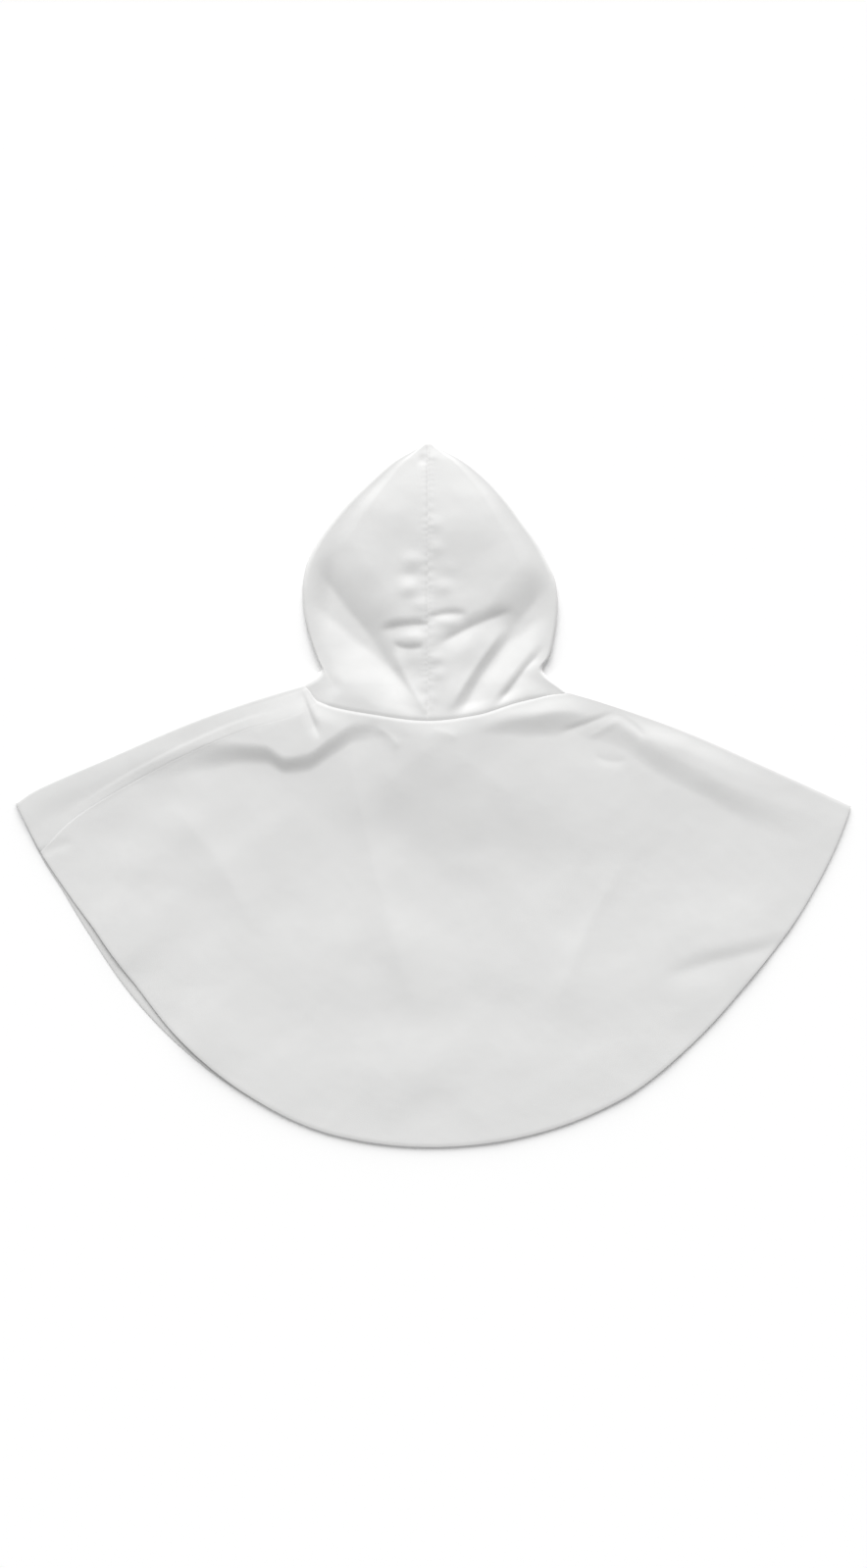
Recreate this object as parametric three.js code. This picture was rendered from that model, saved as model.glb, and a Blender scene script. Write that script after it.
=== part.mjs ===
// A child's pull-on hooded cape in plain cotton sateen, laid flat on its front with its back up.
// Four cut pieces: a front panel, a back panel and the two halves of the hood.
// The front panel lies on the surface, folds over at the left shoulder and meets the back panel
// a little inside that fold. The back panel lies on it, raised round the neck.
// Each hood half runs from the centre seam out to the fold at its side and back underneath to the
// face opening. Every piece is a wall of cloth through a grid of points at its middle.
// Frame, in millimetres: X to the right seen from above, Y towards the hood's peak, Z up. The origin
// is on the surface, under the middle of the garment's box.

import * as THREE from 'three';

// Cloth
const WALL = 1.3;
const SEAM_GAP = 0.3;
const LAYER_GAP = 0.4;
const FLOOR_MIDDLE = WALL / 2;
const LAID_MIDDLE = FLOOR_MIDDLE + WALL + LAYER_GAP;

// Plan of the garment
const NECK_CENTRE = { x: -5.3, y: 79.6 };
const FRONT_NECK_DROP = 36;
const SEAM_LINE_X = -6;

// The upper layer's top line from tip to tip: place, and height of the cloth's middle there.
const LEFT_SHOULDER = [
  { x: -140, y: 120, z: 8 },
  { x: -198, y: 103, z: 9 },
  { x: -262, y: 80, z: 8 },
  { x: -346, y: 43, z: 5.5 },
  { x: -431, y: 5, z: 4.4 },
  { x: -450, y: -8, z: 4.2 },
];
const BACK_NECK = [
  { x: -140, y: 120, z: 8 },
  { x: -124, y: 100, z: 9.5 },
  { x: -72, y: 87.5, z: 12 },
  { x: -5.3, y: 79.6, z: 13 },
  { x: 45, y: 85.5, z: 12.4 },
  { x: 93, y: 100, z: 11 },
  { x: 144, y: 110.5, z: 8 },
];
const RIGHT_SHOULDER = [
  { x: 144, y: 110.5, z: 8 },
  { x: 183, y: 99, z: 7.2 },
  { x: 268, y: 69.4, z: 5.5 },
  { x: 353, y: 32.3, z: 5 },
  { x: 450, y: -12, z: 3.2 },
];

// Shoulder seam on the upper side, from the neck to the hem.
const SHOULDER_SEAM = [
  { x: -124, y: 100 },
  { x: -150, y: 85 },
  { x: -200, y: 71 },
  { x: -261, y: 46 },
  { x: -329, y: 11 },
  { x: -390, y: -27 },
];

// Reach of each layer's hem from the neck's centre, by angle from +X.
const HEM = [
  { angle: 191.2, upper: 453.5, under: 453.5 },
  { angle: 195, upper: 447, under: 448 },
  { angle: 199, upper: 441, under: 443 },
  { angle: 206, upper: 430.5, under: 434 },
  { angle: 213, upper: 424.5, under: 432 },
  { angle: 221, upper: 425, under: 435 },
  { angle: 231, upper: 435, under: 440.5 },
  { angle: 244, upper: 448, under: 449.5 },
  { angle: 257, upper: 458, under: 457 },
  { angle: 270, upper: 459.6, under: 458 },
  { angle: 284, upper: 460, under: 458 },
  { angle: 297, upper: 458, under: 456 },
  { angle: 309, upper: 449.5, under: 447.5 },
  { angle: 320, upper: 445, under: 443 },
  { angle: 333, upper: 451.5, under: 449.5 },
  { angle: 348.6, upper: 464.5, under: 463.5 },
];
const SEAM_HEM_ANGLE = 198.6;
const SEAM_HEM_TURN = 0.024;

// The raised cloth round the neck and along the shoulders: foot of its slope down to the flat,
// its rise above the flat and the run of the slope.
const BROW = [
  { x: -450, foot: -50, rise: 0.5, run: 36 },
  { x: -380, foot: -14, rise: 0.8, run: 36 },
  { x: -310, foot: 12, rise: 1.8, run: 36 },
  { x: -262, foot: 22, rise: 3.6, run: 34 },
  { x: -235, foot: 28, rise: 4.6, run: 30 },
  { x: -206, foot: 33, rise: 5, run: 24 },
  { x: -181, foot: 32, rise: 5.2, run: 22 },
  { x: -159, foot: 22, rise: 5.2, run: 20 },
  { x: -137, foot: 24, rise: 5.2, run: 22 },
  { x: -110, foot: 40, rise: 4.8, run: 24 },
  { x: -82, foot: 56, rise: 3.4, run: 24 },
  { x: -60, foot: 58, rise: 1.2, run: 24 },
  { x: -5, foot: 60, rise: 0.2, run: 20 },
  { x: 45, foot: 64, rise: 0.8, run: 24 },
  { x: 78, foot: 63, rise: 3.6, run: 28 },
  { x: 110, foot: 61, rise: 4.6, run: 30 },
  { x: 144, foot: 64, rise: 3.4, run: 28 },
  { x: 175, foot: 58, rise: 1.8, run: 28 },
  { x: 204, foot: 46, rise: 2.6, run: 34 },
  { x: 225, foot: 32, rise: 3.4, run: 34 },
  { x: 254, foot: 13, rise: 3.8, run: 34 },
  { x: 287, foot: -3, rise: 3.6, run: 34 },
  { x: 320, foot: -22, rise: 3, run: 36 },
  { x: 364, foot: -44, rise: 1.8, run: 38 },
  { x: 397, foot: -54, rise: 0.9, run: 40 },
  { x: 450, foot: -70, rise: 0.3, run: 40 },
];

// The broad swell of the body under that slope.
const SWELL = [
  { x: -450, foot: -70, rise: 1, run: 90 },
  { x: -300, foot: -50, rise: 2, run: 100 },
  { x: -200, foot: -60, rise: 3, run: 110 },
  { x: -100, foot: -70, rise: 5, run: 130 },
  { x: -5, foot: -70, rise: 12, run: 150 },
  { x: 60, foot: -70, rise: 9, run: 150 },
  { x: 144, foot: -70, rise: 4.5, run: 130 },
  { x: 250, foot: -90, rise: 1.5, run: 120 },
  { x: 450, foot: -110, rise: 0.8, run: 90 },
];
// Runs of the cloth from its top line up to the brow: at each shoulder, at the neck, and over the
// neck's corners, where one passes into the other.
const LEFT_EDGE_RUN = 40;
const RIGHT_EDGE_RUN = 24;
const NECK_RUN = 22;
const CORNER_RUN = 20;
// Runs from the neck seam over which the hood's folds set in and the hood rises, and of the front
// panel up to its right shoulder seam.
const HOOD_FOLD_RUN = 16;
const HOOD_NECK_RUN = 95;
const RIM_RUN = 30;

// Sections of the hood: silhouette on each side, height of the crown above the side fold, and
// radius of the fold that the cloth makes there.
const HOOD = [
  { y: 120, left: -140, right: 134.5, crown: 4.6, roll: 3 },
  { y: 135, left: -121, right: 117, crown: 4.6, roll: 2.8 },
  { y: 149, left: -126, right: 125, crown: 4.4, roll: 3 },
  { y: 170, left: -133.5, right: 130, crown: 4, roll: 3.3 },
  { y: 191, left: -138.7, right: 133, crown: 3.6, roll: 3.6 },
  { y: 212, left: -140.8, right: 133.4, crown: 3.2, roll: 3.8 },
  { y: 233.5, left: -139.8, right: 130, crown: 2.8, roll: 4 },
  { y: 254.6, left: -134.5, right: 120.7, crown: 2.8, roll: 4.1 },
  { y: 276, left: -124, right: 109, crown: 3, roll: 4.1 },
  { y: 297, left: -109, right: 94, crown: 2.9, roll: 4 },
  { y: 318, left: -91, right: 78.4, crown: 2.4, roll: 3.8 },
  { y: 339, left: -68.8, right: 59.3, crown: 1.6, roll: 3.3 },
  { y: 360.5, left: -43.4, right: 32.8, crown: 0.8, roll: 2.7 },
  { y: 371, left: -24.4, right: 12.7, crown: 0.4, roll: 2 },
  { y: 378.2, left: -11, right: -1, crown: 0.2, roll: 1.6 },
];
const CROWN_FULLNESS = 2;

// Face opening on the underside: distance of its edge from the centre seam at each height.
const FACE_OPENING = [
  { y: NECK_CENTRE.y - FRONT_NECK_DROP, out: SEAM_GAP / 2 },
  { y: 75, out: 26 },
  { y: 120, out: 48 },
  { y: 180, out: 60 },
  { y: 240, out: 55 },
  { y: 290, out: 34 },
  { y: 322, out: 3 },
  { y: 378.2, out: SEAM_GAP / 2 },
];

// Folds of the upper layer: from one end to the other with a bow to the left of that way, height
// or (below zero) depth, how far each side runs out, the share of that size left at the second
// end, and how its sides fade: 1 keeps them straight, 2 eases them out.
const HOOD_FOLDS = [
  { x1: -194, y1: 284, x2: 6, y2: 72, bow: 8, lift: -12.5, left: 68, right: 66, taper: 0.5, fade: 1.8 },
  { x1: 191, y1: 249, x2: 16, y2: 52, bow: -28, lift: -11.5, left: 64, right: 60, taper: 0.22, fade: 1.6 },
  { x1: -60, y1: 176, x2: 0, y2: 183, bow: 3, lift: -2.5, left: 10, right: 24, taper: 1, fade: 2 },
  { x1: 92, y1: 200, x2: 0, y2: 158, bow: -4, lift: -3.6, left: 24, right: 16, taper: 0.8, fade: 2 },
  { x1: 80, y1: 184, x2: 14, y2: 84, bow: -3, lift: 3, left: 18, right: 20, taper: 0.8, fade: 2 },
  { x1: 131, y1: 169, x2: 61, y2: 84, bow: -3, lift: -4, left: 30, right: 10, taper: 0.8, fade: 2 },
];
const BODY_FOLDS = [
  { x1: -98, y1: 84, x2: -14, y2: -250, bow: -6, lift: 2.8, left: 66, right: 44, taper: 1, fade: 2 },
  { x1: 236, y1: -200, x2: 440, y2: -150, bow: 4, lift: -1.7, left: 17, right: 36, taper: 1, fade: 2 },
  { x1: 215, y1: -60, x2: 130, y2: -250, bow: -10, lift: 1.4, left: 40, right: 34, taper: 1, fade: 2 },
  { x1: -300, y1: 5, x2: -190, y2: -150, bow: 10, lift: 1, left: 40, right: 40, taper: 1, fade: 2 },
];
// Shares of a fold's length over which it fades, and of the hood's half width left clear
const FOLD_END = 0.28;
const FOLD_CLEAR = 0.05;
const FOLD_ROUND = 0.08;

// Soft bumps of the body: middle, height, and how far they reach each way.
const BODY_BUMPS = [
  { x: 40, y: -25, lift: 2.2, wide: 56, high: 44 },
  { x: 330, y: -170, lift: 2.6, wide: 75, high: 55 },
  { x: -30, y: -290, lift: 1.5, wide: 60, high: 34 },
  { x: -230, y: -60, lift: 2.2, wide: 90, high: 60 },
  { x: 180, y: -20, lift: 2.2, wide: 90, high: 60 },
  { x: -120, y: -180, lift: 1.6, wide: 70, high: 50 },
  { x: 120, y: -190, lift: 1.8, wide: 80, high: 50 },
  { x: -310, y: -150, lift: 1.8, wide: 60, high: 80 },
  { x: -250, y: -260, lift: 2, wide: 50, high: 50 },
];

// Faces along and across each piece
const BODY_ROWS = 20;
const BACK_COLUMNS = 46;
const FRONT_COLUMNS = 24;
const FLAP_COLUMNS = 5;
const HOOD_ROWS = 24;
const HOOD_TOP_COLUMNS = 14;
const HOOD_UNDER_COLUMNS = 9;
const ROLL_STEPS = 5;
const SILHOUETTE_SAMPLES = 80;
const NECK_CROWDING = 1.35;
const SIDE_CROWDING = 1.5;
const FIRST_STEP = 0.012;
const FOLD_EASE = 0.8;
const FOLD_REACH = 8;

const smooth = (from, to, value) => THREE.MathUtils.smoothstep(value, from, to);
const mix = THREE.MathUtils.lerp;

// Reads a column of a table at a place in another column, on a smooth curve through its rows.
function tableAt(rows, key, place, column) {
  const rising = rows[rows.length - 1][key] > rows[0][key];
  const list = rising ? rows : [...rows].reverse();
  const last = list.length - 1;
  if (place <= list[0][key]) return list[0][column];
  if (place >= list[last][key]) return list[last][column];
  const i = list.findIndex((row) => row[key] > place) - 1;
  const slope = (a, b) => (list[b][column] - list[a][column]) / (list[b][key] - list[a][key]);
  const here = slope(i, i + 1);
  const before = i > 0 ? slope(i - 1, i) : here;
  const after = i + 1 < last ? slope(i + 1, i + 2) : here;
  const startSlope = before * here > 0 ? (2 * before * here) / (before + here) : 0;
  const endSlope = after * here > 0 ? (2 * after * here) / (after + here) : 0;
  const span = list[i + 1][key] - list[i][key];
  const t = (place - list[i][key]) / span;
  const t2 = t * t;
  const t3 = t2 * t;
  return (
    (2 * t3 - 3 * t2 + 1) * list[i][column] +
    (t3 - 2 * t2 + t) * span * startSlope +
    (3 * t2 - 2 * t3) * list[i + 1][column] +
    (t3 - t2) * span * endSlope
  );
}

// A smooth plan curve through points, read at 0 to 1 of its length.
function planCurve(points) {
  const curve = new THREE.CatmullRomCurve3(points.map((p) => new THREE.Vector3(p.x, p.y, 0)));
  curve.arcLengthDivisions = 400;
  return (t) => {
    const p = curve.getPointAt(THREE.MathUtils.clamp(t, 0, 1));
    return new THREE.Vector2(p.x, p.y);
  };
}

// The same curve moved sideways in plan, to the left of its way when the distance is above zero.
function besideCurve(curve, distance) {
  return (t) => {
    const way = curve(Math.min(1, t + 0.01)).sub(curve(Math.max(0, t - 0.01))).normalize();
    return curve(t).add(new THREE.Vector2(-way.y, way.x).multiplyScalar(distance));
  };
}

// A plan patch ruled between four curves: near and far run with u, start and end with v.
function patchBetween(near, far, start, end) {
  return (u, v) => {
    const alongU = near(u).multiplyScalar(1 - v).add(far(u).multiplyScalar(v));
    const alongV = start(v).multiplyScalar(1 - u).add(end(v).multiplyScalar(u));
    const corners = start(0).multiplyScalar((1 - u) * (1 - v))
      .add(end(0).multiplyScalar(u * (1 - v)))
      .add(start(1).multiplyScalar((1 - u) * v))
      .add(end(1).multiplyScalar(u * v));
    return alongU.add(alongV).sub(corners);
  };
}

// A point of a neck edge, moved off the line towards the hood when the distance is above zero.
function neckPoint(rows, x, distance) {
  const step = 0.5;
  const y = tableAt(rows, 'x', x, 'y');
  const fall = tableAt(rows, 'x', x + step, 'y') - tableAt(rows, 'x', x - step, 'y');
  const across = new THREE.Vector2(-fall, 2 * step).normalize();
  return new THREE.Vector2(x, y).addScaledVector(across, distance);
}

function neckCurve(rows, fromX, toX, distance) {
  return (t) => neckPoint(rows, mix(fromX, toX, t), distance);
}

function hemPoint(angle, layer) {
  const reach = tableAt(HEM, 'angle', angle, layer);
  const turn = THREE.MathUtils.degToRad(angle);
  return new THREE.Vector2(
    NECK_CENTRE.x + reach * Math.cos(turn),
    NECK_CENTRE.y + reach * Math.sin(turn),
  );
}

function hemCurve(layer, fromAngle, toAngle) {
  return (t) => hemPoint(mix(fromAngle, toAngle, t), layer);
}

// Height that one fold adds at a place.
function foldHeight(fold, x, y) {
  const length = Math.hypot(fold.x2 - fold.x1, fold.y2 - fold.y1);
  const wayX = (fold.x2 - fold.x1) / length;
  const wayY = (fold.y2 - fold.y1) / length;
  const along = ((x - fold.x1) * wayX + (y - fold.y1) * wayY) / length;
  if (along <= 0 || along >= 1) return 0;
  const beside = (y - fold.y1) * wayX - (x - fold.x1) * wayY - fold.bow * 4 * along * (1 - along);
  const size = mix(1, fold.taper, along);
  const share = Math.abs(beside) / (size * (beside > 0 ? fold.left : fold.right));
  const rounded = Math.hypot(share, FOLD_ROUND) - FOLD_ROUND;
  if (rounded >= 1) return 0;
  const ends = smooth(0, FOLD_END, along) * smooth(0, FOLD_END, 1 - along);
  return fold.lift * size * ends * (1 - rounded) ** fold.fade;
}

const foldsHeight = (folds, x, y) => folds.reduce((sum, fold) => sum + foldHeight(fold, x, y), 0);

function bumpHeight(bump, x, y) {
  const away = ((x - bump.x) / bump.wide) ** 2 + ((y - bump.y) / bump.high) ** 2;
  return bump.lift * Math.exp(-away);
}

const bumpsHeight = (bumps, x, y) => bumps.reduce((sum, bump) => sum + bumpHeight(bump, x, y), 0);

// Height of a slope's table at a place: none at its foot, all its rise beyond its run.
function slopeHeight(rows, x, y) {
  const foot = tableAt(rows, 'x', x, 'foot');
  return tableAt(rows, 'x', x, 'rise') * smooth(foot, foot + tableAt(rows, 'x', x, 'run'), y);
}

const LEFT_CORNER_X = BACK_NECK[0].x;
const RIGHT_CORNER_X = BACK_NECK[BACK_NECK.length - 1].x;
const TOP_LINE = [...LEFT_SHOULDER].reverse()
  .concat(BACK_NECK.slice(1))
  .concat(RIGHT_SHOULDER.slice(1));

// Middle of the body's upper layer above the surface.
function bodyHeight(x, y) {
  const lineY = tableAt(TOP_LINE, 'x', x, 'y');
  const lineZ = tableAt(TOP_LINE, 'x', x, 'z');
  const edgeRun = mix(LEFT_EDGE_RUN, RIGHT_EDGE_RUN, smooth(LEFT_CORNER_X, RIGHT_CORNER_X, x));
  const atLeft = smooth(LEFT_CORNER_X - CORNER_RUN / 2, LEFT_CORNER_X + CORNER_RUN / 2, x);
  const atRight = smooth(RIGHT_CORNER_X - CORNER_RUN / 2, RIGHT_CORNER_X + CORNER_RUN / 2, x);
  const atNeck = atLeft * (1 - atRight);
  const inside = smooth(0, mix(edgeRun, NECK_RUN, atNeck), lineY - y);
  const slopes = slopeHeight(BROW, x, y) + slopeHeight(SWELL, x, y);
  const folds = foldsHeight(BODY_FOLDS, x, y) + bumpsHeight(BODY_BUMPS, x, y);
  return Math.max(LAID_MIDDLE, mix(lineZ, LAID_MIDDLE + slopes + folds, inside));
}

// Middle of the hood's upper layer above the surface, inside the silhouette of its half.
function hoodHeight(x, y, silhouetteRows) {
  const row = Math.max(y, HOOD[0].y);
  const half = Math.abs(tableAt(silhouetteRows, 'y', row, 'x') - SEAM_LINE_X);
  const out = Math.min(1, Math.abs(x - SEAM_LINE_X) / half);
  const fullness = 1 - out ** CROWN_FULLNESS;
  const edge = FLOOR_MIDDLE + 2 * tableAt(HOOD, 'y', row, 'roll');
  const dome = edge + tableAt(HOOD, 'y', row, 'crown') * fullness;
  const fromNeck = y - tableAt(BACK_NECK, 'x', x, 'y');
  const base = mix(tableAt(BACK_NECK, 'x', x, 'z'), dome, smooth(0, HOOD_NECK_RUN, fromNeck));
  const clear = smooth(0, FOLD_CLEAR, 1 - out) * smooth(0, HOOD_FOLD_RUN, fromNeck);
  return Math.max(LAID_MIDDLE, base + foldsHeight(HOOD_FOLDS, x, y) * clear);
}

// Shares of a length from 0 to 1: a first short step, then steps that grow with the power.
function stations(count, power, firstStep) {
  const list = [0];
  for (let i = 0; i < count; i += 1) {
    list.push(firstStep + (1 - firstStep) * (i / (count - 1)) ** power);
  }
  return list;
}

// Points across a sheet that lies on itself: over the top to the fold, round it and back beneath.
function foldedRow(v, top, under, height, topStations, underStations, rimRise) {
  const edge = top(1, v);
  const roll = (height(edge.x, edge.y) - FLOOR_MIDDLE) / 2;
  const topEnd = 1 - roll / top(0, v).distanceTo(edge);
  const inner = top(topEnd, v);
  const row = topStations.map((share) => {
    const p = top(share * topEnd, v);
    const z = mix(height(p.x, p.y), FLOOR_MIDDLE + 2 * roll, smooth(FOLD_EASE, 1, share));
    return new THREE.Vector3(p.x, p.y, z);
  });
  for (let i = 1; i < ROLL_STEPS; i += 1) {
    const turn = (Math.PI * i) / ROLL_STEPS;
    const p = inner.clone().lerp(edge, Math.sin(turn));
    row.push(new THREE.Vector3(p.x, p.y, FLOOR_MIDDLE + roll * (1 + Math.cos(turn))));
  }
  const underLength = under(0, v).distanceTo(under(1, v));
  const underStart = roll / underLength;
  const shift = inner.clone().sub(under(underStart, v));
  underStations.forEach((share) => {
    const near = 1 - smooth(0, FOLD_REACH, share * underLength);
    const p = under(mix(underStart, 1, share), v).addScaledVector(shift, near);
    const fromRim = (1 - share) * underLength;
    row.push(new THREE.Vector3(p.x, p.y, FLOOR_MIDDLE + rimRise(v) * (1 - smooth(0, RIM_RUN, fromRim))));
  });
  return row;
}

// A closed wall of cloth through a grid of points at its middle.
function clothWall(grid) {
  const rows = grid.length;
  const columns = grid[0].length;
  const across = new THREE.Vector3();
  const along = new THREE.Vector3();
  const positions = [];
  for (const side of [1, -1]) {
    for (let r = 0; r < rows; r += 1) {
      for (let c = 0; c < columns; c += 1) {
        across.subVectors(grid[r][Math.min(c + 1, columns - 1)], grid[r][Math.max(c - 1, 0)]);
        along.subVectors(grid[Math.min(r + 1, rows - 1)][c], grid[Math.max(r - 1, 0)][c]);
        const normal = new THREE.Vector3().crossVectors(across, along).normalize();
        const p = grid[r][c].clone().addScaledVector(normal, (side * WALL) / 2);
        positions.push(p.x, p.y, p.z);
      }
    }
  }
  const faces = [];
  const index = (side, r, c) => side * rows * columns + r * columns + c;
  const quad = (a, b, c, d) => faces.push(a, b, c, a, c, d);
  for (let r = 0; r < rows - 1; r += 1) {
    for (let c = 0; c < columns - 1; c += 1) {
      quad(index(0, r, c), index(0, r, c + 1), index(0, r + 1, c + 1), index(0, r + 1, c));
      quad(index(1, r, c), index(1, r + 1, c), index(1, r + 1, c + 1), index(1, r, c + 1));
    }
  }
  const rim = [];
  for (let c = 0; c < columns - 1; c += 1) rim.push([0, c]);
  for (let r = 0; r < rows - 1; r += 1) rim.push([r, columns - 1]);
  for (let c = columns - 1; c > 0; c -= 1) rim.push([rows - 1, c]);
  for (let r = rows - 1; r > 0; r -= 1) rim.push([r, 0]);
  rim.forEach(([r, c], i) => {
    const [nextR, nextC] = rim[(i + 1) % rim.length];
    quad(index(0, r, c), index(1, r, c), index(1, nextR, nextC), index(0, nextR, nextC));
  });
  const geometry = new THREE.BufferGeometry();
  geometry.setAttribute('position', new THREE.Float32BufferAttribute(positions, 3));
  geometry.setIndex(signedVolume(positions, faces) < 0 ? faces.reverse() : faces);
  geometry.computeVertexNormals();
  return geometry;
}

function signedVolume(positions, faces) {
  const corner = (i) => new THREE.Vector3().fromArray(positions, faces[i] * 3);
  let volume = 0;
  for (let i = 0; i < faces.length; i += 3) {
    volume += corner(i).dot(corner(i + 1).cross(corner(i + 2))) / 6;
  }
  return volume;
}

const sateen = () => new THREE.MeshStandardMaterial({ color: 0xf2f2f0, roughness: 0.6, metalness: 0 });

function clothPiece(name, grid) {
  const mesh = new THREE.Mesh(clothWall(grid), sateen());
  mesh.name = name;
  return mesh;
}

// Plan curves that pieces share
const leftCorner = neckPoint(BACK_NECK, LEFT_CORNER_X, -SEAM_GAP / 2);
const rightCorner = neckPoint(BACK_NECK, RIGHT_CORNER_X, -SEAM_GAP / 2);
const leftFold = planCurve([leftCorner, ...LEFT_SHOULDER.slice(1)]);
const rightEdge = planCurve([rightCorner, ...RIGHT_SHOULDER.slice(1)]);
const seamEnd = hemPoint(SEAM_HEM_ANGLE, 'upper');
const shoulderSeam = planCurve([...SHOULDER_SEAM, seamEnd]);
const FRONT_NECK = BACK_NECK.map((row) => {
  const out = (row.x - NECK_CENTRE.x) / (LEFT_CORNER_X - NECK_CENTRE.x);
  return { x: row.x, y: row.y - FRONT_NECK_DROP * Math.max(0, 1 - out * out) };
});
const frontHem = hemCurve('under', HEM[0].angle, HEM[HEM.length - 1].angle);

function makeFrontPanel() {
  const seam = besideCurve(shoulderSeam, -SEAM_GAP / 2);
  const flapNeck = neckCurve(BACK_NECK, seam(0).x, LEFT_CORNER_X, -SEAM_GAP / 2);
  const flapHem = hemCurve('upper', SEAM_HEM_ANGLE - SEAM_HEM_TURN, HEM[0].angle);
  const flap = patchBetween(flapNeck, flapHem, seam, leftFold);
  const frontNeck = neckCurve(FRONT_NECK, LEFT_CORNER_X, RIGHT_CORNER_X, -SEAM_GAP / 2);
  const under = patchBetween(frontNeck, frontHem, leftFold, rightEdge);
  const flapStations = stations(FLAP_COLUMNS, 1, FIRST_STEP);
  const underStations = stations(FRONT_COLUMNS, 1, FIRST_STEP);
  const rimRise = (v) => Math.max(0, tableAt(TOP_LINE, 'x', rightEdge(v).x, 'z') - LAID_MIDDLE);
  const grid = stations(BODY_ROWS, NECK_CROWDING, FIRST_STEP)
    .map((v) => foldedRow(v, flap, under, bodyHeight, flapStations, underStations, rimRise));
  return clothPiece('front_panel', grid);
}

function makeBackPanel() {
  const seam = besideCurve(shoulderSeam, SEAM_GAP / 2);
  const neck = neckCurve(BACK_NECK, seam(0).x, RIGHT_CORNER_X, -SEAM_GAP / 2);
  const hem = hemCurve('upper', SEAM_HEM_ANGLE + SEAM_HEM_TURN, HEM[HEM.length - 1].angle);
  const panel = patchBetween(neck, hem, seam, rightEdge);
  const across = stations(BACK_COLUMNS, 1, FIRST_STEP / 3);
  const grid = stations(BODY_ROWS, NECK_CROWDING, FIRST_STEP).map((v) => across.map((u) => {
    const p = panel(u, v);
    return new THREE.Vector3(p.x, p.y, bodyHeight(p.x, p.y));
  }));
  return clothPiece('back_panel', grid);
}

function makeHoodHalf(name, side) {
  const hand = side === 'left' ? -1 : 1;
  const cornerX = side === 'left' ? LEFT_CORNER_X : RIGHT_CORNER_X;
  const corner = neckPoint(BACK_NECK, cornerX, SEAM_GAP / 2);
  const sidePoints = HOOD.slice(1).map((row) => ({ x: row[side], y: row.y }));
  const silhouette = planCurve([corner, ...sidePoints]);
  const peak = HOOD[HOOD.length - 1];
  const seamX = SEAM_LINE_X + (hand * SEAM_GAP) / 2;
  const centreSeam = (v) => new THREE.Vector2(seamX, mix(NECK_CENTRE.y, peak.y, v));
  const backNeck = neckCurve(BACK_NECK, seamX, cornerX, SEAM_GAP / 2);
  const frontNeck = neckCurve(FRONT_NECK, cornerX, seamX, SEAM_GAP / 2);
  const faceEdge = (v) => {
    const y = mix(frontNeck(1).y, peak.y, v);
    return new THREE.Vector2(SEAM_LINE_X + hand * tableAt(FACE_OPENING, 'y', y, 'out'), y);
  };
  const peakTop = (u) => new THREE.Vector2(mix(seamX, peak[side], u), peak.y);
  const peakUnder = (u) => new THREE.Vector2(mix(peak[side], seamX, u), peak.y);
  const top = patchBetween(backNeck, peakTop, centreSeam, silhouette);
  const under = patchBetween(frontNeck, peakUnder, silhouette, faceEdge);
  const silhouetteRows = stations(SILHOUETTE_SAMPLES, 1, 0).slice(1).map((t) => silhouette(t));
  const height = (x, y) => hoodHeight(x, y, silhouetteRows);
  const topStations = stations(HOOD_TOP_COLUMNS, 1, FIRST_STEP)
    .map((share) => 1 - (1 - share) ** SIDE_CROWDING);
  const underStations = stations(HOOD_UNDER_COLUMNS, 1, FIRST_STEP);
  const grid = stations(HOOD_ROWS, 1, FIRST_STEP)
    .map((v) => foldedRow(v, top, under, height, topStations, underStations, () => 0));
  return clothPiece(name, grid);
}

const cape = new THREE.Group();
cape.add(makeFrontPanel());
cape.add(makeBackPanel());
cape.add(makeHoodHalf('hood_left', 'left'));
cape.add(makeHoodHalf('hood_right', 'right'));

export default cape;
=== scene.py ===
"""Hooded cape in white cotton sateen, laid flat with its back up: cloth, floor, light and camera.

The tables hold the garment's sizes in millimetres, in the frame's own axes; meshes are made in
metres.
"""
import math

import bpy
import numpy as np
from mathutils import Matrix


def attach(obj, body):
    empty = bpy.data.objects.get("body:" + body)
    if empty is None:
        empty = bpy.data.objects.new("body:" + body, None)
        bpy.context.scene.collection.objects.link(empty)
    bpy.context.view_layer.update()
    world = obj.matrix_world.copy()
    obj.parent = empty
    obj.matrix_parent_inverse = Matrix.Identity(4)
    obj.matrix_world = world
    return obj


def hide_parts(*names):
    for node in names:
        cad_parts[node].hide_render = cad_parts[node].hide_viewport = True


bl_info = {
    "name": "Hooded cape, laid flat",
    "version": (1, 0, 0),
    "blender": (4, 5, 0),
    "location": "View3D > Sidebar > Cape",
    "description": "Cloth and seams of a child's hooded cape, with its floor, light and camera",
    "category": "Object",
}

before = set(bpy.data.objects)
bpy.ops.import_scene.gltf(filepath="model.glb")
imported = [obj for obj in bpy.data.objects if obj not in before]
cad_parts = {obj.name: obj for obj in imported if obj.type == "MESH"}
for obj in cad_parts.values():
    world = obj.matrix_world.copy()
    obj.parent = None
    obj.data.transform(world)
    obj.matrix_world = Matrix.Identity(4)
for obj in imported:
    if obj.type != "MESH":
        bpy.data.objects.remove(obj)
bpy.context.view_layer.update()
MM = 0.001
ROOT_BODY = "root"

# Cloth
WALL = 1.3
CLOTH = 0.9
SEAM_GAP = 0.3
LAYER_GAP = 0.4
FLOOR_MIDDLE = WALL / 2
LAID_MIDDLE = FLOOR_MIDDLE + WALL + LAYER_GAP

# Plan of the garment
NECK_CENTRE_X = -5.3
NECK_CENTRE_Y = 79.6
FRONT_NECK_DROP = 36.0
SEAM_LINE_X = -6.0

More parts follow.
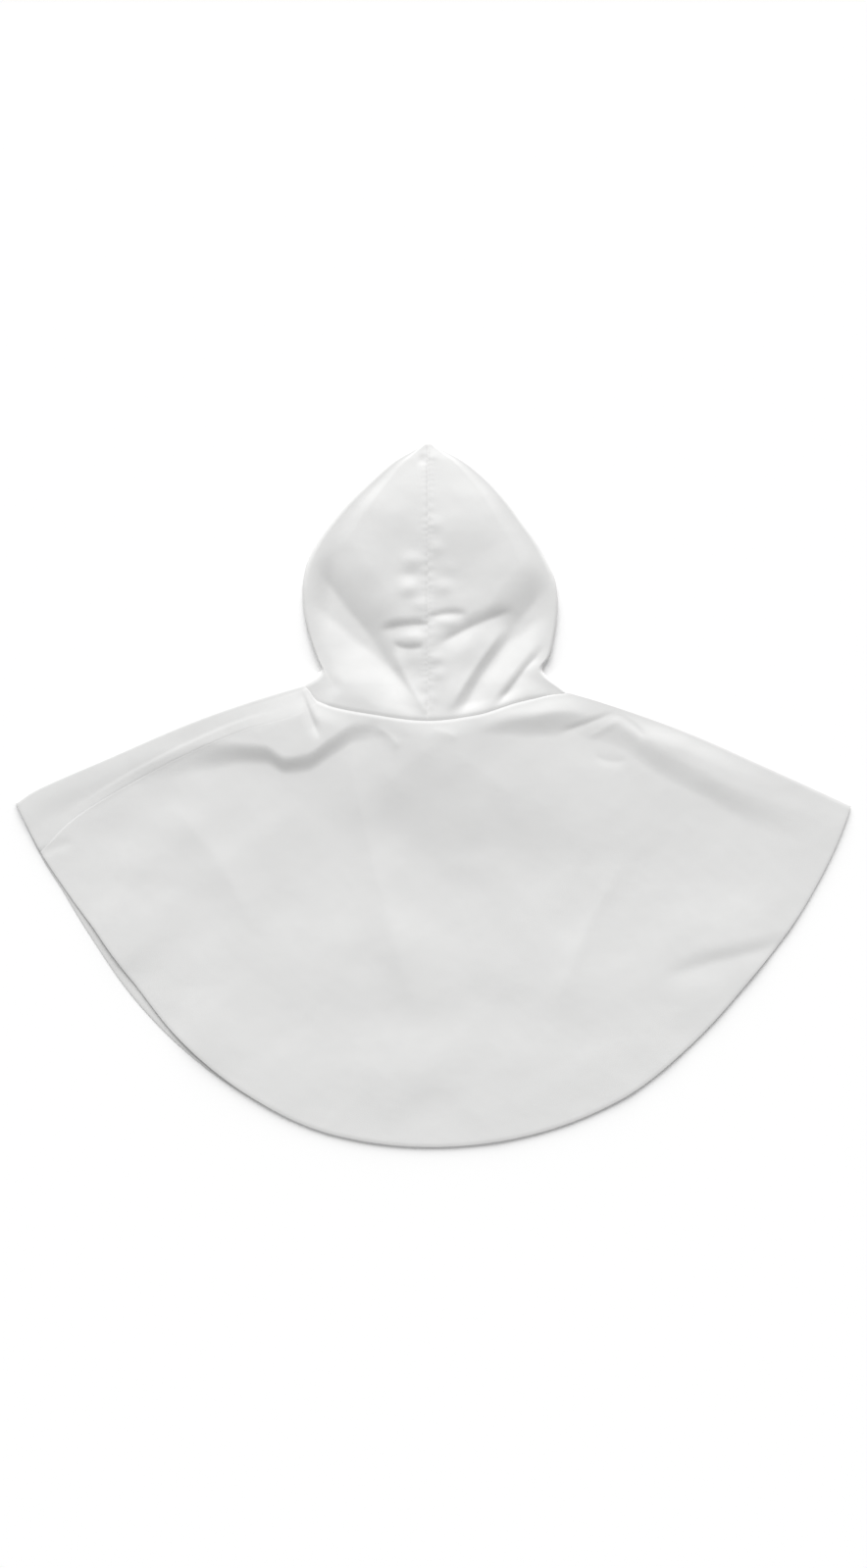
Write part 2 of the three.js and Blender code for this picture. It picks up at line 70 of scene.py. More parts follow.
# The upper layer's top line from tip to tip: place, and height of the cloth's middle there.
LEFT_SHOULDER = [
    {"x": -140, "y": 120, "z": 8},
    {"x": -198, "y": 103, "z": 9},
    {"x": -262, "y": 80, "z": 8},
    {"x": -346, "y": 43, "z": 5.5},
    {"x": -431, "y": 5, "z": 4.4},
    {"x": -450, "y": -8, "z": 4.2},
]
BACK_NECK = [
    {"x": -140, "y": 120, "z": 8},
    {"x": -124, "y": 100, "z": 9.5},
    {"x": -72, "y": 87.5, "z": 12},
    {"x": -5.3, "y": 79.6, "z": 13},
    {"x": 45, "y": 85.5, "z": 12.4},
    {"x": 93, "y": 100, "z": 11},
    {"x": 144, "y": 110.5, "z": 8},
]
RIGHT_SHOULDER = [
    {"x": 144, "y": 110.5, "z": 8},
    {"x": 183, "y": 99, "z": 7.2},
    {"x": 268, "y": 69.4, "z": 5.5},
    {"x": 353, "y": 32.3, "z": 5},
    {"x": 450, "y": -12, "z": 3.2},
]

# Shoulder seam on the upper side, from the neck to the hem.
SHOULDER_SEAM = [
    {"x": -124, "y": 100},
    {"x": -150, "y": 85},
    {"x": -200, "y": 71},
    {"x": -261, "y": 46},
    {"x": -329, "y": 11},
    {"x": -390, "y": -27},
]

# Reach of each layer's hem from the neck's centre, by angle from +X.
HEM = [
    {"angle": 191.2, "upper": 453.5, "under": 453.5},
    {"angle": 195, "upper": 447, "under": 448},
    {"angle": 199, "upper": 441, "under": 443},
    {"angle": 206, "upper": 430.5, "under": 434},
    {"angle": 213, "upper": 424.5, "under": 432},
    {"angle": 221, "upper": 425, "under": 435},
    {"angle": 231, "upper": 435, "under": 440.5},
    {"angle": 244, "upper": 448, "under": 449.5},
    {"angle": 257, "upper": 458, "under": 457},
    {"angle": 270, "upper": 459.6, "under": 458},
    {"angle": 284, "upper": 460, "under": 458},
    {"angle": 297, "upper": 458, "under": 456},
    {"angle": 309, "upper": 449.5, "under": 447.5},
    {"angle": 320, "upper": 445, "under": 443},
    {"angle": 333, "upper": 451.5, "under": 449.5},
    {"angle": 348.6, "upper": 464.5, "under": 463.5},
]
SEAM_HEM_ANGLE = 198.6
SEAM_HEM_TURN = 0.024

# The raised cloth round the neck and along the shoulders: foot of its slope, rise and run.
BROW = [
    {"x": -450, "foot": -50, "rise": 0.5, "run": 36},
    {"x": -380, "foot": -14, "rise": 0.8, "run": 36},
    {"x": -310, "foot": 12, "rise": 1.8, "run": 36},
    {"x": -262, "foot": 22, "rise": 3.6, "run": 34},
    {"x": -235, "foot": 28, "rise": 4.6, "run": 30},
    {"x": -206, "foot": 33, "rise": 5, "run": 24},
    {"x": -181, "foot": 32, "rise": 5.2, "run": 22},
    {"x": -159, "foot": 22, "rise": 5.2, "run": 20},
    {"x": -137, "foot": 24, "rise": 5.2, "run": 22},
    {"x": -110, "foot": 40, "rise": 4.8, "run": 24},
    {"x": -82, "foot": 56, "rise": 3.4, "run": 24},
    {"x": -60, "foot": 58, "rise": 1.2, "run": 24},
    {"x": -5, "foot": 60, "rise": 0.2, "run": 20},
    {"x": 45, "foot": 64, "rise": 0.8, "run": 24},
    {"x": 78, "foot": 63, "rise": 3.6, "run": 28},
    {"x": 110, "foot": 61, "rise": 4.6, "run": 30},
    {"x": 144, "foot": 64, "rise": 3.4, "run": 28},
    {"x": 175, "foot": 58, "rise": 1.8, "run": 28},
    {"x": 204, "foot": 46, "rise": 2.6, "run": 34},
    {"x": 225, "foot": 32, "rise": 3.4, "run": 34},
    {"x": 254, "foot": 13, "rise": 3.8, "run": 34},
    {"x": 287, "foot": -3, "rise": 3.6, "run": 34},
    {"x": 320, "foot": -22, "rise": 3, "run": 36},
    {"x": 364, "foot": -44, "rise": 1.8, "run": 38},
    {"x": 397, "foot": -54, "rise": 0.9, "run": 40},
    {"x": 450, "foot": -70, "rise": 0.3, "run": 40},
]

# The broad swell of the body under that slope.
SWELL = [
    {"x": -450, "foot": -70, "rise": 1, "run": 90},
    {"x": -300, "foot": -50, "rise": 2, "run": 100},
    {"x": -200, "foot": -60, "rise": 3, "run": 110},
    {"x": -100, "foot": -70, "rise": 5, "run": 130},
    {"x": -5, "foot": -70, "rise": 12, "run": 150},
    {"x": 60, "foot": -70, "rise": 9, "run": 150},
    {"x": 144, "foot": -70, "rise": 4.5, "run": 130},
    {"x": 250, "foot": -90, "rise": 1.5, "run": 120},
    {"x": 450, "foot": -110, "rise": 0.8, "run": 90},
]
LEFT_EDGE_RUN = 40.0
RIGHT_EDGE_RUN = 24.0
NECK_RUN = 22.0
HOOD_FOLD_RUN = 16.0
HOOD_NECK_RUN = 95.0
RIM_RUN = 30.0

# Sections of the hood: silhouette on each side, height of the crown above the side fold, and
# radius of the fold that the cloth makes there.
HOOD = [
    {"y": 120, "left": -140, "right": 134.5, "crown": 4.6, "roll": 3},
    {"y": 135, "left": -121, "right": 117, "crown": 4.6, "roll": 2.8},
    {"y": 149, "left": -126, "right": 125, "crown": 4.4, "roll": 3},
    {"y": 170, "left": -133.5, "right": 130, "crown": 4, "roll": 3.3},
    {"y": 191, "left": -138.7, "right": 133, "crown": 3.6, "roll": 3.6},
    {"y": 212, "left": -140.8, "right": 133.4, "crown": 3.2, "roll": 3.8},
    {"y": 233.5, "left": -139.8, "right": 130, "crown": 2.8, "roll": 4},
    {"y": 254.6, "left": -134.5, "right": 120.7, "crown": 2.8, "roll": 4.1},
    {"y": 276, "left": -124, "right": 109, "crown": 3, "roll": 4.1},
    {"y": 297, "left": -109, "right": 94, "crown": 2.9, "roll": 4},
    {"y": 318, "left": -91, "right": 78.4, "crown": 2.4, "roll": 3.8},
    {"y": 339, "left": -68.8, "right": 59.3, "crown": 1.6, "roll": 3.3},
    {"y": 360.5, "left": -43.4, "right": 32.8, "crown": 0.8, "roll": 2.7},
    {"y": 371, "left": -24.4, "right": 12.7, "crown": 0.4, "roll": 2},
    {"y": 378.2, "left": -11, "right": -1, "crown": 0.2, "roll": 1.6},
]
CROWN_FULLNESS = 2.0

# Groove in which the neck seam lies: its depth, and how far it reaches to each side.
NECK_GROOVE = 0.6
NECK_GROOVE_RUN = 2.0

# The centre seam's dip, the ridge of its allowances and the small puckers that its thread draws:
# their strength drifts along the seam, and the two sides are out of step.
SEAM_DIP = 0.9
SEAM_DIP_RUN = 1.7
SEAM_RIDGE = 0.4
SEAM_RIDGE_RUN = 3.2
SEAM_PUCKER = 0.18
SEAM_PUCKER_LENGTH = 7.5
SEAM_PUCKER_RUN = 7.0
PUCKER_DRIFT = [
    {"share": 0.5, "length": 11},
    {"share": 0.4, "length": 29},
]
PUCKER_SIDE_SHIFT = 0.3
PUCKER_LEAST = 0.4
PUCKER_SWELL_LENGTH = 17.0

# The pressed allowance above the left shoulder seam: a low band that fades out at both ends.
ALLOWANCE = 0.4
ALLOWANCE_WIDTH = 10.0
ALLOWANCE_EDGE = 2.2
ALLOWANCE_LEAN = 0.87
ALLOWANCE_HEM_START = 10.0
ALLOWANCE_HEM_FADE = 50.0
ALLOWANCE_NECK_FADE = 90.0

# Face opening on the underside: distance of its edge from the centre seam at each height.
FACE_OPENING = [
    {"y": NECK_CENTRE_Y - FRONT_NECK_DROP, "out": SEAM_GAP / 2},
    {"y": 75, "out": 26},
    {"y": 120, "out": 48},
    {"y": 180, "out": 60},
    {"y": 240, "out": 55},
    {"y": 290, "out": 34},
    {"y": 322, "out": 3},
    {"y": 378.2, "out": SEAM_GAP / 2},
]

# Folds of the upper layer: from one end to the other with a bow to the left of that way, height
# or (below zero) depth, and how far each side runs out. Two columns are for the folds that differ
# from the rest: taper is the share of that size left at the second end, and fade is how the sides
# run out, where 1 keeps them straight and 2 eases them.
FOLD_TAPER = 1
FOLD_FADE = 2
HOOD_FOLDS = [
    {"x1": -194, "y1": 284, "x2": 6, "y2": 72, "bow": 8, "lift": -12.5, "left": 68, "right": 66,
     "taper": 0.5, "fade": 1.8},
    {"x1": 191, "y1": 249, "x2": 16, "y2": 52, "bow": -28, "lift": -11.5, "left": 64, "right": 60,
     "taper": 0.22, "fade": 1.6},
    {"x1": -60, "y1": 176, "x2": 0, "y2": 183, "bow": 3, "lift": -2.5, "left": 10, "right": 24},
    {"x1": -12, "y1": 187, "x2": 40, "y2": 193, "bow": 5, "lift": -1.7, "left": 8, "right": 22},
    {"x1": 92, "y1": 200, "x2": 0, "y2": 158, "bow": -4, "lift": -3.6, "left": 24, "right": 16,
     "taper": 0.8},
    {"x1": 80, "y1": 184, "x2": 14, "y2": 84, "bow": -3, "lift": 3, "left": 18, "right": 20,
     "taper": 0.8},
    {"x1": 131, "y1": 169, "x2": 61, "y2": 84, "bow": -3, "lift": -4, "left": 30, "right": 10,
     "taper": 0.8},
    {"x1": -120, "y1": 138, "x2": -128, "y2": 104, "bow": 0, "lift": -1.6, "left": 10, "right": 14},
    {"x1": -46, "y1": 164, "x2": -6, "y2": 162, "bow": -5, "lift": -1.7, "left": 7, "right": 15},
    {"x1": -44, "y1": 160, "x2": -2, "y2": 80, "bow": -3, "lift": 2.4, "left": 14, "right": 18},
]
BODY_FOLDS = [
    {"x1": -98, "y1": 84, "x2": -14, "y2": -250, "bow": -6, "lift": 2.8, "left": 66, "right": 44},
    {"x1": 236, "y1": -200, "x2": 440, "y2": -150, "bow": 4, "lift": -1.7, "left": 17, "right": 36},
    {"x1": 215, "y1": -60, "x2": 130, "y2": -250, "bow": -10, "lift": 1.4, "left": 40, "right": 34},
    {"x1": -300, "y1": 5, "x2": -190, "y2": -150, "bow": 10, "lift": 1, "left": 40, "right": 40},
    {"x1": 132, "y1": 66, "x2": 208, "y2": 96, "bow": -2, "lift": -0.9, "left": 7, "right": 9},
    {"x1": 160, "y1": 60, "x2": 206, "y2": 86, "bow": -2, "lift": 0.4, "left": 8, "right": 8},
    {"x1": 190, "y1": 92, "x2": 232, "y2": 58, "bow": 3, "lift": -0.8, "left": 6, "right": 9},
    {"x1": 170, "y1": 44, "x2": 212, "y2": 38, "bow": -5, "lift": -0.45, "left": 10, "right": 10},
    {"x1": -146, "y1": 122, "x2": -122, "y2": 58, "bow": 0, "lift": -2, "left": 8, "right": 12},
    {"x1": -64, "y1": 76, "x2": -34, "y2": 48, "bow": 2, "lift": 0.7, "left": 12, "right": 12},
    {"x1": -6, "y1": 72, "x2": 28, "y2": 60, "bow": 2, "lift": 0.5, "left": 10, "right": 10},
    {"x1": -60, "y1": 2, "x2": 10, "y2": 58, "bow": 4, "lift": 0.6, "left": 34, "right": 40},
    {"x1": 6, "y1": 54, "x2": 100, "y2": -14, "bow": 4, "lift": 0.5, "left": 34, "right": 36},
    {"x1": -436, "y1": -70, "x2": -384, "y2": -50, "bow": 2, "lift": -1, "left": 8, "right": 7},
]

# Share of its length over which a fold fades at each end, share of the hood's half width in which
# it fades at the side, and how much its bottom or top is rounded.
FOLD_END = 0.28
FOLD_CLEAR = 0.05
FOLD_ROUND = 0.08

# Soft bumps: middle, height, and how far they reach each way.
BODY_BUMPS = [
    {"x": 40, "y": -25, "lift": 2.2, "wide": 56, "high": 44},
    {"x": 330, "y": -170, "lift": 2.6, "wide": 75, "high": 55},
    {"x": -30, "y": -290, "lift": 1.5, "wide": 60, "high": 34},
    {"x": -230, "y": -60, "lift": 2.2, "wide": 90, "high": 60},
    {"x": 180, "y": -20, "lift": 2.2, "wide": 90, "high": 60},
    {"x": -120, "y": -180, "lift": 1.6, "wide": 70, "high": 50},
    {"x": 120, "y": -190, "lift": 1.8, "wide": 80, "high": 50},
    {"x": -310, "y": -150, "lift": 1.8, "wide": 60, "high": 80},
    {"x": -250, "y": -260, "lift": 2, "wide": 50, "high": 50},
]

# Puckers of the cloth along the hood's centre seam.
PUCKERS = [
    {"x": 2, "y": 292, "lift": 0.8, "wide": 8, "high": 7},
    {"x": -22, "y": 253, "lift": 1.2, "wide": 11, "high": 8},
    {"x": -26, "y": 237, "lift": -0.8, "wide": 10, "high": 6},
    {"x": -26, "y": 222, "lift": 1.3, "wide": 11, "high": 8},
    {"x": 4, "y": 266, "lift": 0.8, "wide": 8, "high": 7},
    {"x": 9, "y": 224, "lift": 1, "wide": 12, "high": 8},
    {"x": 16, "y": 244, "lift": 0.5, "wide": 11, "high": 7},
    {"x": -14, "y": 205, "lift": 0.9, "wide": 9, "high": 7},
    {"x": 12, "y": 187, "lift": 1, "wide": 12, "high": 6},
    {"x": -24, "y": 170, "lift": 1, "wide": 12, "high": 6},
    {"x": 3, "y": 147, "lift": 1, "wide": 8, "high": 6},
    {"x": 6, "y": 130, "lift": 0.8, "wide": 7, "high": 6},
    {"x": -12, "y": 118, "lift": 0.6, "wide": 8, "high": 7},
    {"x": -1, "y": 104, "lift": 0.5, "wide": 8, "high": 6},
    {"x": -12, "y": 361, "lift": -0.9, "wide": 5, "high": 5},
    {"x": 0, "y": 366, "lift": 0.5, "wide": 6, "high": 5},
    {"x": 28, "y": 292, "lift": 2.2, "wide": 40, "high": 46},
    {"x": -50, "y": 300, "lift": 0.6, "wide": 26, "high": 26},
    {"x": 78, "y": 300, "lift": -0.7, "wide": 18, "high": 34},
    {"x": -66, "y": 250, "lift": 0.7, "wide": 22, "high": 30},
]

# Soft unevenness of each upper layer: height, size of the swells and seed of their random heights.
BODY_UNEVENNESS = [
    {"lift": 0.9, "size": 75, "seed": 3},
    {"lift": 0.35, "size": 34, "seed": 4},
]
HOOD_UNEVENNESS = [
    {"lift": 0.5, "size": 46, "seed": 7},
    {"lift": 0.25, "size": 20, "seed": 8},
]
LATTICE = 64
LATTICE_WAY = (0.8, 0.6)

# Where an upper layer comes down to the layer beneath it, and where the neck takes over from the
# shoulders, the two forms blend over this many millimetres.
BODY_BLEND = 0.8
HOOD_BLEND = 1.0
CORNER_BLEND = 10.0

# Steps along and across each piece, and samples of a curve in plan
BODY_ROWS = 150
BACK_COLUMNS = 260
FRONT_COLUMNS = 120
FLAP_COLUMNS = 24
HOOD_ROWS = 150
HOOD_TOP_COLUMNS = 76
HOOD_UNDER_COLUMNS = 24
ROLL_STEPS = 8
NECK_CROWDING = 1.35
SIDE_CROWDING = 1.3
FIRST_STEP = 0.002
FOLD_EASE = 0.8
FOLD_REACH = 8.0
RIM_STEPS = 4
CURVE_SAMPLES = 600
WAY_STEP = 0.01
NECK_STEP = 0.5

# Camera: the photograph's frame, looking straight down
PHOTO_SIZE = (884, 1599)
PIXEL = 1.0588
ORIGIN_PIXEL = (442.0, 810.5)
LENS = 85.0
SENSOR = 36.0
CLIP_END = 100.0

# Main light, in degrees: softness, lean from straight above towards the hood, and turn to one side
WINDOW_SOFTNESS = 56
WINDOW_LEAN = -63
WINDOW_TURN = 3


def mix(a, b, share):
    return a + (b - a) * share


def smooth(start, end, value):
    share = np.clip((value - start) / (end - start), 0.0, 1.0)
    return share * share * (3 - 2 * share)


def smooth_max(a, b, blend):
    gap = np.maximum(blend - np.abs(a - b), 0.0) / blend
    return np.maximum(a, b) + gap * gap * blend / 4


def table_at(rows, key, place, column):
    """Reads a column at places in another column, on a smooth curve through the rows."""
    ordered = sorted(rows, key=lambda row: row[key])
    at = np.array([row[key] for row in ordered], float)
    value = np.array([row[column] for row in ordered], float)
    place = np.clip(np.asarray(place, float), at[0], at[-1])
    slope = np.diff(value) / np.diff(at)
    product = slope[:-1] * slope[1:]
    total = np.where(product > 0, slope[:-1] + slope[1:], 1.0)
    inner = np.where(product > 0, 2 * product / total, 0.0)
    ends = np.concatenate([[slope[0]], inner, [slope[-1]]])
    i = np.clip(np.searchsorted(at, place, side="right") - 1, 0, len(at) - 2)
    span = at[i + 1] - at[i]
    t = (place - at[i]) / span
    t2, t3 = t * t, t * t * t
    return (
        (2 * t3 - 3 * t2 + 1) * value[i]
        + (t3 - 2 * t2 + t) * span * ends[i]
        + (3 * t2 - 2 * t3) * value[i + 1]
        + (t3 - t2) * span * ends[i + 1]
    )


def plan_curve(points):
    """A smooth plan curve through points, read at 0 to 1 of its length."""
    knots = np.array(points, float)
    first = 2 * knots[0] - knots[1]
    last = 2 * knots[-1] - knots[-2]
    knots = np.vstack([first, knots, last])
    samples = []
    per_span = CURVE_SAMPLES // (len(knots) - 3)
    for i in range(1, len(knots) - 2):
        p0, p1, p2, p3 = knots[i - 1:i + 3]
        d1 = math.dist(p0, p1) ** 0.5
        d2 = math.dist(p1, p2) ** 0.5
        d3 = math.dist(p2, p3) ** 0.5
        t1 = ((p1 - p0) / d1 - (p2 - p0) / (d1 + d2) + (p2 - p1) / d2) * d2
        t2 = ((p2 - p1) / d2 - (p3 - p1) / (d2 + d3) + (p3 - p2) / d3) * d2
        s = np.linspace(0, 1, per_span, endpoint=False)[:, None]
        samples.append(
            (2 * s**3 - 3 * s**2 + 1) * p1 + (s**3 - 2 * s**2 + s) * t1
            + (3 * s**2 - 2 * s**3) * p2 + (s**3 - s**2) * t2
        )
    samples.append(knots[-2][None, :])
    line = np.vstack(samples)
    length = np.concatenate([[0], np.cumsum(np.linalg.norm(np.diff(line, axis=0), axis=1))])
    length /= length[-1]

    def curve(t):
        t = np.clip(np.asarray(t, float), 0, 1)
        return np.stack([np.interp(t, length, line[:, axis]) for axis in (0, 1)], axis=-1)

    return curve


def beside_curve(curve, distance):
    """The same curve moved sideways in plan, to the left when the distance is above zero."""
    def moved(t):
        t = np.asarray(t, float)
        way = curve(np.minimum(1, t + WAY_STEP)) - curve(np.maximum(0, t - WAY_STEP))
        way = way / np.linalg.norm(way, axis=-1, keepdims=True)
        return curve(t) + distance * np.stack([-way[..., 1], way[..., 0]], axis=-1)

    return moved


def patch_between(near, far, start, end):
    """A plan patch ruled between four curves: near and far run with u, start and end with v."""
    def patch(u, v):
        u, v = np.broadcast_arrays(np.asarray(u, float), np.asarray(v, float))
        uu, vv = u[..., None], v[..., None]
        along_u = near(u) * (1 - vv) + far(u) * vv
        along_v = start(v) * (1 - uu) + end(v) * uu
        corners = (
            start(0.0) * (1 - uu) * (1 - vv) + end(0.0) * uu * (1 - vv)
            + start(1.0) * (1 - uu) * vv + end(1.0) * uu * vv
        )
        return along_u + along_v - corners

    return patch


def neck_point(rows, x, distance):
    """A point of a neck edge, moved off it towards the hood when the distance is above zero."""
    x = np.asarray(x, float)
    y = table_at(rows, "x", x, "y")
    fall = table_at(rows, "x", x + NECK_STEP, "y") - table_at(rows, "x", x - NECK_STEP, "y")
    across = np.stack([-fall, np.full_like(fall, 2 * NECK_STEP)], axis=-1)
    across /= np.linalg.norm(across, axis=-1, keepdims=True)
    return np.stack([x, y], axis=-1) + distance * across


def neck_curve(rows, from_x, to_x, distance):
    return lambda t: neck_point(rows, mix(from_x, to_x, np.asarray(t, float)), distance)


def hem_point(angle, layer):
    reach = table_at(HEM, "angle", angle, layer)
    turn = np.radians(angle)
    x = NECK_CENTRE_X + reach * np.cos(turn)
    y = NECK_CENTRE_Y + reach * np.sin(turn)
    return np.stack([x, y], axis=-1)


def hem_curve(layer, from_angle, to_angle):
    return lambda t: hem_point(mix(from_angle, to_angle, np.asarray(t, float)), layer)


def fold_height(fold, x, y):
    """Height that one fold adds at each place."""
    length = math.hypot(fold["x2"] - fold["x1"], fold["y2"] - fold["y1"])
    way_x = (fold["x2"] - fold["x1"]) / length
    way_y = (fold["y2"] - fold["y1"]) / length
    along = np.clip(((x - fold["x1"]) * way_x + (y - fold["y1"]) * way_y) / length, 0, 1)
    bow = fold["bow"] * 4 * along * (1 - along)
    beside = (y - fold["y1"]) * way_x - (x - fold["x1"]) * way_y - bow
    size = mix(1.0, fold.get("taper", FOLD_TAPER), along)
    share = np.abs(beside) / (np.where(beside > 0, fold["left"], fold["right"]) * size)
    rounded = np.minimum(np.hypot(share, FOLD_ROUND) - FOLD_ROUND, 1.0)
    ends = smooth(0, FOLD_END, along) * smooth(0, FOLD_END, 1 - along)
    return fold["lift"] * size * ends * (1 - rounded) ** fold.get("fade", FOLD_FADE)


def folds_height(folds, x, y):
    return sum(fold_height(fold, x, y) for fold in folds)


def bumps_height(bumps, x, y):
    height = 0
    for bump in bumps:
        off_x = (x - bump["x"]) / bump["wide"]
        off_y = (y - bump["y"]) / bump["high"]
        height = height + bump["lift"] * np.exp(-off_x ** 2 - off_y ** 2)
    return height


def soft_noise(x, y, size, seed):
    """Smooth random swells between -1 and 1, each about size millimetres across."""
    values = np.random.default_rng(seed).uniform(-1, 1, (LATTICE, LATTICE))
    way_x, way_y = LATTICE_WAY
    u = (x * way_x + y * way_y) / size + LATTICE / 2
    v = (y * way_x - x * way_y) / size + LATTICE / 2
    i, j = np.floor(u).astype(int), np.floor(v).astype(int)
    s, t = u - i, v - j
    s, t = (w * w * w * (w * (6 * w - 15) + 10) for w in (s, t))
    i, next_i = i % LATTICE, (i + 1) % LATTICE
    j, next_j = j % LATTICE, (j + 1) % LATTICE
    near = mix(values[i, j], values[next_i, j], s)
    far = mix(values[i, next_j], values[next_i, next_j], s)
    return mix(near, far, t)


def uneven(height, rows, x, y):
    """The height with soft swells added, row by row."""
    for row in rows:
        height = height + row["lift"] * soft_noise(x, y, row["size"], row["seed"])
    return height


LEFT_CORNER_X = BACK_NECK[0]["x"]
RIGHT_CORNER_X = BACK_NECK[-1]["x"]
TOP_LINE = LEFT_SHOULDER[::-1] + BACK_NECK[1:] + RIGHT_SHOULDER[1:]


def groove_depth(from_seam):
    """Depth of the groove along the neck seam, by distance from it."""
    return NECK_GROOVE * np.exp(-(from_seam / NECK_GROOVE_RUN) ** 2)


def allowance_height(x, y):
    """The pressed seam allowance that shows above the left shoulder seam as a low band."""
    above = (y - table_at(SHOULDER_SEAM, "x", x, "y")) * ALLOWANCE_LEAN
    at_seam = smooth(-ALLOWANCE_EDGE, ALLOWANCE_EDGE, above)
    at_top = smooth(-ALLOWANCE_EDGE, ALLOWANCE_EDGE, ALLOWANCE_WIDTH - above)
    start, end = SHOULDER_SEAM[-1]["x"], SHOULDER_SEAM[1]["x"]
    at_hem = smooth(start - ALLOWANCE_HEM_START, start + ALLOWANCE_HEM_FADE, x)
    at_neck = smooth(-end, -end + ALLOWANCE_NECK_FADE, -x)
    return ALLOWANCE * (at_seam * at_top) * (at_hem * at_neck)


def seam_height(x, y):
    """Ridges and small puckers beside the hood's centre seam."""
    beside = np.abs(x - SEAM_LINE_X)
    ridge = SEAM_RIDGE * np.exp(-((beside - SEAM_RIDGE_RUN) / SEAM_RIDGE_RUN) ** 2)
    drift = sum(row["share"] * np.sin(y / row["length"]) for row in PUCKER_DRIFT)
    drift = drift + PUCKER_SIDE_SHIFT * np.sign(x - SEAM_LINE_X)
    wave = np.sin(2 * np.pi * (y / SEAM_PUCKER_LENGTH + drift))
    strength = PUCKER_LEAST + (1 - PUCKER_LEAST) * np.sin(y / PUCKER_SWELL_LENGTH) ** 2
    dip = SEAM_DIP * np.exp(-(beside / SEAM_DIP_RUN) ** 2)
    return ridge - dip + SEAM_PUCKER * strength * wave * np.exp(-(beside / SEAM_PUCKER_RUN) ** 2)


def body_height(x, y):
    """Middle of the body's upper layer above the surface."""
    line_y = table_at(TOP_LINE, "x", x, "y")
    line_z = table_at(TOP_LINE, "x", x, "z")
    beside = mix(LEFT_EDGE_RUN, RIGHT_EDGE_RUN, smooth(LEFT_CORNER_X, RIGHT_CORNER_X, x))
    past_left = smooth(LEFT_CORNER_X - CORNER_BLEND, LEFT_CORNER_X + CORNER_BLEND, x)
    before_right = smooth(-RIGHT_CORNER_X - CORNER_BLEND, -RIGHT_CORNER_X + CORNER_BLEND, -x)
    at_neck = past_left * before_right
    inside = smooth(0, mix(beside, NECK_RUN, at_neck), line_y - y)
    laid = LAID_MIDDLE
    for slope in (BROW, SWELL):
        foot, rise, run = (table_at(slope, "x", x, column) for column in ("foot", "rise", "run"))
        laid = laid + rise * smooth(0, 1, (y - foot) / run)
    laid = laid + folds_height(BODY_FOLDS, x, y) + bumps_height(BODY_BUMPS, x, y)
    laid = uneven(laid, BODY_UNEVENNESS, x, y)
    height = mix(line_z, laid, inside) + allowance_height(x, y) - at_neck * groove_depth(line_y - y)
    return smooth_max(np.full_like(x, LAID_MIDDLE), height, BODY_BLEND)


def hood_height(x, y, side):
    """Middle of the hood's upper layer above the surface."""
    row = np.maximum(y, HOOD[0]["y"])
    line = SILHOUETTE[side]
    half = np.abs(np.interp(row, line[:, 1], line[:, 0]) - SEAM_LINE_X)
    out = np.minimum(1, np.abs(x - SEAM_LINE_X) / half)
    fullness = 1 - out ** CROWN_FULLNESS
    edge = FLOOR_MIDDLE + 2 * table_at(HOOD, "y", row, "roll")
    dome = edge + table_at(HOOD, "y", row, "crown") * fullness
    from_neck = y - table_at(BACK_NECK, "x", x, "y")
    base = mix(table_at(BACK_NECK, "x", x, "z"), dome, smooth(0, HOOD_NECK_RUN, from_neck))
    folds = folds_height(HOOD_FOLDS, x, y) + bumps_height(PUCKERS, x, y) + seam_height(x, y)
    off_side = smooth(0, FOLD_CLEAR, 1 - out)
    folds = uneven(folds, HOOD_UNEVENNESS, x, y) * off_side * smooth(0, HOOD_FOLD_RUN, from_neck)
    groove = groove_depth(from_neck) * off_side
    return smooth_max(np.full_like(x, LAID_MIDDLE), base + folds - groove, HOOD_BLEND)


def stations(count, power, first_step):
    """Shares of a length from 0 to 1: a first short step, then steps that grow with the power."""
    steps = (np.arange(count) / (count - 1)) ** power
    return np.concatenate([[0.0], first_step + (1 - first_step) * steps])


